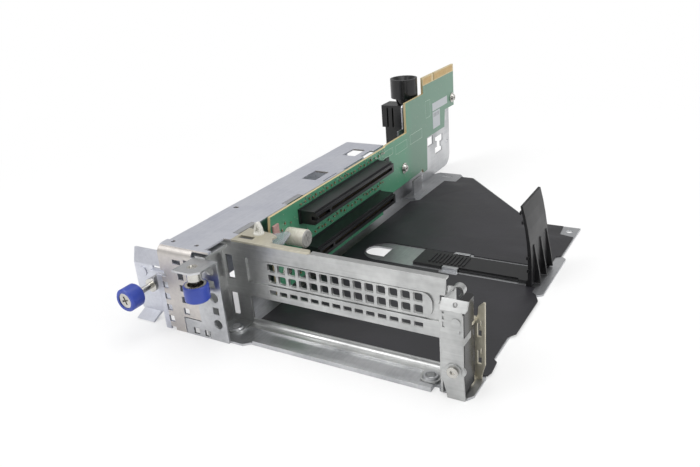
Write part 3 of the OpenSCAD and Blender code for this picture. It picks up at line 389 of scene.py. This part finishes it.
# %% A mesh of many small blocks
def blocks(name, boxes, finish, chamfer=0.0):
    """One object from (low corner, high corner) pairs in metres."""
    shape = bmesh.new()
    for low, high in boxes:
        low, high = Vector(low), Vector(high)
        made = bmesh.ops.create_cube(shape, size=1.0)["verts"]
        for v in made:
            v.co = Vector(((low[i] + high[i]) / 2 + v.co[i] * (high[i] - low[i]) for i in range(3)))
        if chamfer:
            edges = list({e for v in made for e in v.link_edges})
            bmesh.ops.bevel(shape, geom=edges, offset=chamfer, segments=1, affect="EDGES")
    mesh = bpy.data.meshes.new(name)
    shape.to_mesh(mesh)
    shape.free()
    mesh.materials.append(finish)
    made = bpy.data.objects.new(name, mesh)
    bpy.context.scene.collection.objects.link(made)
    return made


face_x = board_hi.x


def on_board(y0, y1, z0, z1, height):
    """Corners of a block that stands on the face of the board; all in metres."""
    return (face_x, min(y0, y1), min(z0, z1)), (face_x + height, max(y0, y1), max(z0, z1))


print("face of the board at x =", round(face_x / MM, 2), "mm")

# %% [markdown]
# **Parts on the board.** Chip resistors and capacitors of 1.0 x 0.5 and 1.6 x 0.8 mm stand
# beside the connectors, with a few larger packages. Each chip is a body between two tinned
# ends. Their real places can't be known, so a seeded random sequence sets them, and every run
# gives the same board.

# %% One chip
dice = random.Random(11)
bodies, ends, packages = [], [], []
end_share = 0.25


def chip(y, z, long_y, length, width, height):
    """A two-ended chip at y and z, in metres; its sizes are in mm."""
    half, end = length / 2 * MM, end_share * length * MM
    side, tall = width / 2 * MM, height * MM
    spans = [(end - half, half - end, bodies)]
    spans += [(s * half, s * (half - end), ends) for s in (-1, 1)]
    for a, b, rows in spans:
        if long_y:
            rows.append(on_board(y + a, y + b, z - side, z + side, tall))
        else:
            rows.append(on_board(y - side, y + side, z + a, z + b, tall))


print("ends take", end_share, "of a chip's length each")

# %% Chips beside the connectors and round the capacitor
up_lo, up_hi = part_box("connector_upper")
low_lo, low_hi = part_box("connector_lower")
y = up_lo.y + 3 * MM
while y < up_hi.y + 8 * MM:
    chip(y, up_hi.z + dice.uniform(1.6, 2.4) * MM, dice.random() < 0.6, 1.6, 0.8, 0.75)
    if dice.random() < 0.35:
        chip(y + 1.4 * MM, up_hi.z + 3.6 * MM, True, 1.0, 0.5, 0.4)
    y += dice.uniform(2.6, 6.0) * MM
y = low_lo.y + 2 * MM
while y < low_hi.y + 4 * MM:
    chip(y, low_hi.z + dice.uniform(1.8, 5.0) * MM, dice.random() < 0.4, 1.6, 0.8, 0.75)
    if dice.random() < 0.5:
        chip(y + 1.2 * MM, low_hi.z + dice.uniform(6.0, 10.5) * MM, dice.random() < 0.5, 1.0, 0.5, 0.5)
    y += dice.uniform(2.2, 4.5) * MM

front_chips = 34
cap_room = 6.6 * MM                       # kept free round the middle of the capacitor
cap_middle = Vector(((cap_lo.y + cap_hi.y) / 2, (cap_lo.z + cap_hi.z) / 2))
screw_y, screw_z, screw_room = 33 * MM, 14 * MM, 4.6 * MM
for _ in range(front_chips):
    y, z = board_lo.y + dice.uniform(2.5, 23.0) * MM, dice.uniform(7.5, 40.0) * MM
    if (Vector((y, z)) - cap_middle).length < cap_room:
        continue
    if z < 12 * MM or abs(y - screw_y) > screw_room or abs(z - screw_z) > screw_room:
        chip(y, z, dice.random() < 0.5, dice.choice((1.0, 1.6)), 0.8, 0.6)
print("chips:", len(bodies))

# %% Packages, and the three meshes
# Middle along Y, height of the middle, width, height and thickness, in mm
for y, z, w, h, t in ((45.0, 12.0, 4.0, 5.0, 1.1), (29.0, 24.0, 3.0, 3.0, 0.9),
                      (150.0, 38.0, 5.0, 4.0, 1.0)):
    packages.append(on_board((y - w / 2) * MM, (y + w / 2) * MM, (z - h / 2) * MM, (z + h / 2) * MM, t * MM))
for name, boxes, finish, slot_name in (("chip_bodies", bodies, ceramic, "sleeve"),
                                       ("chip_ends", ends, tin, "screw_steel"),
                                       ("chip_packages", packages, chip_black, "black_plastic")):
    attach(blocks(name, boxes, finish), root_body)
print("packages:", len(packages))

# %% [markdown]
# **Labels and legend.** Two paper labels sit on the tail of the board, and thin white outlines
# of the printed legend lie around the parts. An image would need a texture file, so thin blocks
# draw them. The second label has plain bars, and nothing is written on either.

# %% Labels
skin_t = 0.06 * MM
labels = [on_board(223.8 * MM, 250.4 * MM, 52.2 * MM, 57.8 * MM, skin_t),
          on_board(224.0 * MM, 236.6 * MM, 39.2 * MM, 51.4 * MM, skin_t)]
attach(blocks("paper_labels", labels, paper), root_body)
bars = []
bar_count, first_bar, bar_pitch = 9, 225.4, 1.1
for k in range(bar_count):
    y = (first_bar + k * bar_pitch) * MM
    wide = dice.choice((0.25, 0.5)) * MM
    bars.append(((face_x + skin_t, y, 47.6 * MM), (face_x + 1.4 * skin_t, y + wide, 50.4 * MM)))
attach(blocks("label_bars", bars, ink), root_body)
print("labels:", len(labels), "bars:", len(bars))

# %% Legend
line_w, ink_t = 0.18, 0.03 * MM


def outline(y0, y1, z0, z1):
    """Four strips round a rectangle on the board's face, in mm."""
    sides = ((y0, y1, z0, z0 + line_w), (y0, y1, z1 - line_w, z1),
             (y0, y0 + line_w, z0, z1), (y1 - line_w, y1, z0, z1))
    return [on_board(a * MM, b * MM, c * MM, d * MM, ink_t) for a, b, c, d in sides]


legend = []
for sides_mm in ((186, 205, 38.5, 45), (146, 160, 40, 44.5), (164, 181, 38, 44),
                 (147.0, 152.6, 35.4, 40.6), (212, 220, 50, 62), (26.6, 31.4, 21.6, 26.4)):
    legend += outline(*sides_mm)
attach(blocks("legend_lines", legend, silk), root_body)
print("legend strips:", len(legend))

# %% [markdown]
# **Foam pad.** A small pink pad is stuck to the front corner of the board. Foam has no sharp
# edges, so its block is chamfered by 0.2 mm.

# %% Foam pad
pad = on_board(25.6 * MM, 30.4 * MM, 36.0 * MM, 42.5 * MM, 1.2 * MM)
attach(blocks("foam_pad", [pad], pad_pink, 0.2 * MM), root_body)
print("pad:", [round((b - a) / MM, 1) for a, b in zip(*pad)], "mm")

# %% [markdown]
# **Contacts inside the connectors.** A 16-lane connector has its positions at 1.00 mm pitch on
# each side of its mouth, in a short group before the key and a long one after it. Each is a
# small gilt spring. They could be bent strips, but only their tips show in the slot, so flat
# strips give the same fine rhythm for a fraction of the triangles.

# %% Contacts inside the connectors
pitch = 1.0
spring_half, spring_out, spring_in = 0.18 * MM, 1.0 * MM, 0.62 * MM
spring_back, spring_front = 5.0 * MM, 1.6 * MM      # distances behind the connector's face
springs = []
for lo, hi in ((up_lo, up_hi), (low_lo, low_hi)):
    mid = (lo.z + hi.z) / 2
    for first, count in ((3.6, 10), (16.6, 70)):
        for k in range(count):
            y = lo.y + (first + k * pitch) * MM
            for s in (-1, 1):
                a, b = mid + s * spring_out, mid + s * spring_in
                springs.append(((hi.x - spring_back, y - spring_half, min(a, b)),
                                (hi.x - spring_front, y + spring_half, max(a, b))))
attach(blocks("connector_springs", springs, gilt), root_body)
print("springs:", len(springs))

# %% [markdown]
# **The film as it lies: a grid to bend.** The CAD film is a flat plate, and a plate with only
# corner points can't bend. A cloth simulation would find its own shape, but not this one, and
# would take longer. So the outline is kept and cut by planes 3 mm apart into a fine grid.

# %% A grid to bend
film_cad = nodes["insulating_film"]
film_lo, film_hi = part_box("insulating_film")
shape = bmesh.new()
shape.from_mesh(film_cad.data)
bmesh.ops.dissolve_limit(shape, angle_limit=0.01, verts=shape.verts, edges=shape.edges)
step = 3.0 * MM
for axis, lo, hi in ((0, film_lo.x, film_hi.x), (1, film_lo.y, film_hi.y)):
    at = lo + step
    while at < hi:
        point, normal = Vector((0, 0, 0)), Vector((0, 0, 0))
        point[axis], normal[axis] = at, 1.0
        bmesh.ops.bisect_plane(shape, geom=shape.verts[:] + shape.edges[:] + shape.faces[:],
                               plane_co=point, plane_no=normal)
        at += step
rim = [v.co.copy() for v in shape.verts if any(abs(f.normal.z) < 0.5 for f in v.link_faces)]
rim_tree = KDTree(len(rim))
for i, p in enumerate(rim):
    rim_tree.insert((p.x, p.y, 0), i)
rim_tree.balance()
print("grid points:", len(shape.verts), "on the rim:", len(rim))

# %% [markdown]
# **The film as it lies: waves.** Crossed sine waves of 11 to 23 cm lift the film, the way that
# a sheet lies when it isn't glued down all over. They fade out at the rim, where the film is held, and in the band that
# the card guide sweeps, so that nothing touches. The round end of the cut-out is eased by
# 0.2 mm, so that the corners of the guide's arm run free at its full travel.

# %% Waves
guide_lo, guide_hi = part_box("card_guide")
guide_mid = (guide_lo.y + guide_hi.y) / 2
half_swept = (guide_hi.y - guide_lo.y) / 2 + 3 * MM
rim_fade, sweep_fade = 16.0, 12 * MM
lift = 2.2
end_x, end_y, end_radius = 22.0 * MM, 97.5 * MM, 12.0 * MM
end_ease = 0.2 * MM


def wave(x, y):
    """Height of the waves at a point, all in mm."""
    a = math.sin(x / 23.0 + 0.6 * math.sin(y / 31.0)) * math.sin(y / 37.0 + 0.4)
    b = math.sin((x + 0.8 * y) / 29.0 + 1.7) * 0.6
    c = math.sin((x - 1.3 * y) / 17.0) * 0.22
    return 0.62 + 0.42 * a + 0.3 * b + c * 0.5


def smooth(value):
    """Smooth step from 0 to 1."""
    value = max(0.0, min(1.0, value))
    return value * value * (3 - 2 * value)


for v in shape.verts:
    reach = rim_tree.find((v.co.x, v.co.y, 0))[2] / MM
    fade = smooth(reach / rim_fade) * smooth((abs(v.co.y - guide_mid) - half_swept) / sweep_fade)
    v.co.z += fade * max(0.0, wave(v.co.x / MM, v.co.y / MM)) * MM * lift
    out = Vector((v.co.x - end_x, v.co.y - end_y, 0))
    if out.x < 0 and out.length < end_radius + 0.3 * MM:
        v.co += out.normalized() * end_ease
print("highest point of the film:", round(max(v.co.z for v in shape.verts) / MM, 2), "mm")

# %% The film's object
bmesh.ops.triangulate(shape, faces=[f for f in shape.faces if len(f.verts) > 4])
film_mesh = bpy.data.meshes.new("film_as_it_lies")
shape.to_mesh(film_mesh)
shape.free()
for polygon in film_mesh.polygons:
    polygon.use_smooth = abs(polygon.normal.z) > 0.5
film_mesh.materials.clear()
film_mesh.materials.append(film_black)
film = bpy.data.objects.new("film_as_it_lies", film_mesh)
bpy.context.scene.collection.objects.link(film)
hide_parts("insulating_film")
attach(film, root_body)
print("film faces:", len(film_mesh.polygons))

# %% [markdown]
# **Surroundings.** The steel mirrors what is round it, so the world is brighter above than at
# the horizon. A picture of a studio could light it, but a ramp along Z is enough for a soft
# mirror. The camera itself sees plain white, through the Light Path node, so the background
# doesn't depend on how strong the light on the part is.

# %% Surroundings
scene = bpy.context.scene
world = bpy.data.worlds.new("pale studio")
scene.world = world
world.use_nodes = True
world.node_tree.nodes.clear()
tree = world.node_tree
path = add(tree, "LightPath")
coord = add(tree, "TexCoord")
height = add(tree, "SeparateXYZ", {}, {"Vector": coord.outputs["Generated"]})
sky = add(tree, "ValToRGB", {}, {"Fac": height.outputs["Z"]},
          [(0.0, grey(0.55)), (0.25, grey(0.7)), (0.7, grey(1.0))])
soft = add(tree, "Background", {}, {"Color": sky.outputs[0], "Strength": 0.6})
plain = add(tree, "Background", {}, {"Color": grey(1.0), "Strength": 1.0})
both = add(tree, "MixShader", {}, {"Fac": path.outputs["Is Camera Ray"], 1: soft.outputs[0],
                                   2: plain.outputs[0]})
add(tree, "OutputWorld", {}, {"Surface": both.outputs[0]})
print("world:", world.name)

# %% [markdown]
# **Floor.** The part lies on white paper. Near the part the paper keeps a soft shadow; further
# out it turns to plain white for the camera, so that no edge of the floor shows.

# %% Floor
floor_half = 6.0
part_middle = (0.04, 0.1, 0.0)
floor_mesh = bpy.data.meshes.new("floor")
corners = [(x * floor_half, y * floor_half, 0) for x, y in ((-1, -1), (1, -1), (1, 1), (-1, 1))]
floor_mesh.from_pydata(corners, [], [(0, 1, 2, 3)])
floor = bpy.data.objects.new("floor", floor_mesh)
scene.collection.objects.link(floor)
floor_paint, tree, coord = start_material("white seamless paper")
fibre = add(tree, "TexNoise", {}, {"Vector": coord.outputs["Object"], "Scale": per(25), "Detail": 2.0})
tone = add(tree, "ValToRGB", {}, {"Fac": fibre.outputs["Fac"]}, [(0.3, grey(0.93)), (0.7, grey(0.95))])
shader = add(tree, "BsdfPrincipled", {}, {"Base Color": tone.outputs[0], "Roughness": 0.9,
                                          "Specular IOR Level": 0.1})
path = add(tree, "LightPath")
away = add(tree, "VectorMath", {"operation": "DISTANCE"}, {0: coord.outputs["Object"], 1: part_middle})
far = add(tree, "MapRange", {}, {"Value": away.outputs["Value"], "From Min": 0.1, "From Max": 0.45,
                                 "To Min": 0.45, "To Max": 1.0})
seen = add(tree, "Math", {"operation": "MULTIPLY"}, {0: path.outputs["Is Camera Ray"], 1: far.outputs[0]})
white = add(tree, "Emission", {}, {"Color": grey(1.0), "Strength": 1.0})
paper_floor = add(tree, "MixShader", {}, {"Fac": seen.outputs[0], 1: shader.outputs[0],
                                          2: white.outputs[0]})
add(tree, "OutputMaterial", {}, {"Surface": paper_floor.outputs[0]})
floor_mesh.materials.append(floor_paint)
print("floor:", 2 * floor_half, "m wide")

# %% [markdown]
# **Lamps.** Three large square lamps give soft shadows: one from the front left, one overhead
# and a weak one from the right. Small lamps would be cheaper to place but leave hard spots on
# the plated steel.

# %% Lamps
def soft_box(name, place, aim, size, power):
    """A square area light at place, facing aim, both in metres; power is in watts."""
    data = bpy.data.lights.new(name, "AREA")
    data.size = size
    data.energy = power
    made = bpy.data.objects.new(name, data)
    made.location = place
    made.rotation_euler = (Vector(aim) - Vector(place)).to_track_quat("-Z", "Y").to_euler()
    scene.collection.objects.link(made)


lamp_aim = (0.04, 0.1, 0.02)
for name, place, size, power in (("key", (-0.7, -0.9, 1.3), 0.9, 9), ("top", (0.1, 0.3, 1.5), 1.2, 8),
                                 ("right", (1.3, 0.1, 0.7), 0.8, 5)):
    soft_box(name, place, lamp_aim, size, power)

# %% [markdown]
# **Camera.** It looks down at 23 degrees from the front right, slightly rolled, with a lens of
# about 36 mm. Its axes are worked out from the angles and written in one matrix, because a
# track constraint can't hold a roll.

# %% Camera
azimuth, elevation, roll = math.radians(31.86), math.radians(23.08), math.radians(-4.80)
eye = Vector((0.2038, -0.2324, 0.1748))
back = Vector((math.sin(azimuth) * math.cos(elevation), -math.cos(azimuth) * math.cos(elevation),
               math.sin(elevation)))
right = Vector((math.cos(azimuth), math.sin(azimuth), 0))
up = back.cross(right)
cam_right = right * math.cos(roll) + up * math.sin(roll)
cam_up = up * math.cos(roll) - right * math.sin(roll)
camera = bpy.data.objects.new("camera", bpy.data.cameras.new("camera"))
camera.data.lens = 36.4
camera.data.sensor_width = 36.0
camera.data.clip_start = 0.01
camera.matrix_world = Matrix((
    (cam_right.x, cam_up.x, back.x, eye.x), (cam_right.y, cam_up.y, back.y, eye.y),
    (cam_right.z, cam_up.z, back.z, eye.z), (0, 0, 0, 1)))
scene.collection.objects.link(camera)
scene.camera = camera
scene.view_settings.view_transform = "Standard"
print("camera at", [round(v, 3) for v in camera.location])
